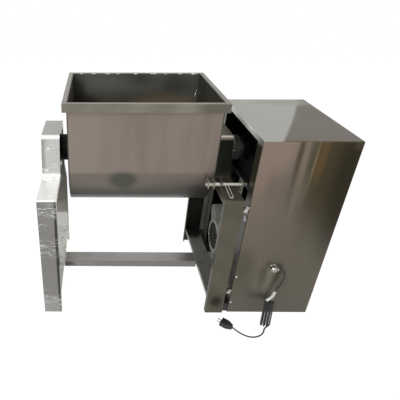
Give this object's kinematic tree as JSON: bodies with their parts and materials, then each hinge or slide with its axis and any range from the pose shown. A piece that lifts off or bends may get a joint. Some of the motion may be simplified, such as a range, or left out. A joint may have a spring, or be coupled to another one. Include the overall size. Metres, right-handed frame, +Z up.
{
  "type": "dough kneading machine",
  "caption": "Tilting horizontal dough kneader: round-bottomed steel trough hung between folded stands, belt and gearbox drive under a tall sheet cover, mains cord with plug",
  "frame": {"origin": "on the floor under the middle of the machine, without the cord", "axes": "X along the trough's axis from the plain stand to the drive cover, Y from the lock-pin side to the far side, Z up"},
  "size_m": [1.346, 0.8338, 1.057],
  "materials": {
    "stand_steel": "folded stainless sheet with film marks",
    "dark_frame": "dark painted steel",
    "trough_steel": "brushed stainless sheet",
    "rim_steel": "bright brushed stainless rail",
    "machined_steel": "turned steel",
    "cast_black": "black painted casting",
    "bronze": "turned bronze",
    "seal_rubber": "black rubber",
    "gearbox_paint": "blue-grey machine paint on a casting",
    "motor_paint": "grey motor paint",
    "fan_cover_paint": "dark grey paint on pressed steel",
    "box_grey": "light grey moulded box",
    "cover_steel": "vertically brushed stainless sheet",
    "fastener": "zinc-plated steel",
    "belt_rubber": "rubber V belt",
    "cord_black": "matt black flexible sheath",
    "wrap_white": "white plastic wrap",
    "gland_metal": "plated metal",
    "fan_plastic": "moulded plastic fan"
  },
  "bodies": {
    "frame": {"floor_plates": "stand_steel", "bearing_plates": "dark_frame", "left_stand_wrap": "stand_steel", "left_stand_panel": "stand_steel", "right_stand_wrap": "stand_steel", "crossbar": "stand_steel", "left_bearing_housing": "cast_black", "right_bearing_housing": "cast_black", "bearing_bushes": "bronze", "bearing_bolts": "fastener", "base_rails": "dark_frame", "gearbox_table": "dark_frame", "gearbox_base": "gearbox_paint", "gearbox_cover": "gearbox_paint", "gearbox_caps": "gearbox_paint", "gearbox_bolts": "fastener", "motor_body": "motor_paint", "motor_shields": "motor_paint", "motor_fan_cover": "fan_cover_paint", "terminal_box": "box_grey", "terminal_box_lid": "box_grey", "motor_rails": "dark_frame", "drive_belts": "belt_rubber", "housing_shell": "cover_steel", "housing_side_panel": "cover_steel", "cover_screws": "fastener", "cover_brackets": "fastener", "pin_guide": "machined_steel", "cord_gland": "gland_metal", "strain_relief": "seal_rubber", "cord_drop": "cord_black", "cord_wrap": "wrap_white", "cord_hank": "cord_black", "cord_lead": "cord_black", "plug": "cord_black", "plug_pins": "fastener"},
    "trough": {"trough_shell": "trough_steel", "trough_left_end": "trough_steel", "trough_right_end": "trough_steel", "rim_long_rails": "rim_steel", "rim_end_rails": "rim_steel", "left_trunnion": "machined_steel", "right_trunnion": "machined_steel", "trunnion_bolts": "fastener", "shaft_bushes": "bronze", "shaft_seals": "seal_rubber", "keeper_lugs": "trough_steel"},
    "agitator": {"agitator_shaft": "machined_steel", "kneading_bars": "machined_steel", "kneading_arms": "machined_steel", "coupling_hubs": "machined_steel", "coupling_bolts": "fastener", "output_shaft": "machined_steel"},
    "drive_pulley": {"input_shaft": "machined_steel", "big_pulley": "cast_black"},
    "motor_rotor": {"motor_shaft": "machined_steel", "motor_pulley": "cast_black", "motor_fan": "fan_plastic"},
    "lock_pin": {"lock_pin": "machined_steel", "hairpin_clip": "fastener"}
  },
  "joints": [
    {"name": "trough_tilt", "type": "hinge", "parent": "frame", "child": "trough", "pos_m": [0, 0.06, 0.75], "axis": [-1, 0, 0], "range_deg": [0, 100]},
    {"name": "drive_pulley_spin", "type": "hinge", "parent": "frame", "child": "drive_pulley", "pos_m": [0.6, -0.14, 0.75], "axis": [1, 0, 0], "continuous": true},
    {"name": "agitator_spin", "type": "hinge", "parent": "frame", "child": "agitator", "pos_m": [0, 0.06, 0.75], "axis": [1, 0, 0], "continuous": true},
    {"name": "motor_spin", "type": "hinge", "parent": "frame", "child": "motor_rotor", "pos_m": [0.6, 0.076, 0.195], "axis": [1, 0, 0], "continuous": true},
    {"name": "lock_pin_slide", "type": "slide", "parent": "frame", "child": "lock_pin", "axis": [1, 0, 0], "range_m": [0, 0.045]}
  ],
  "couplings": [
    {"joint": "agitator_spin", "follows": "drive_pulley_spin", "ratio": 0.08},
    {"joint": "motor_spin", "follows": "drive_pulley_spin", "ratio": 2.5}
  ]
}
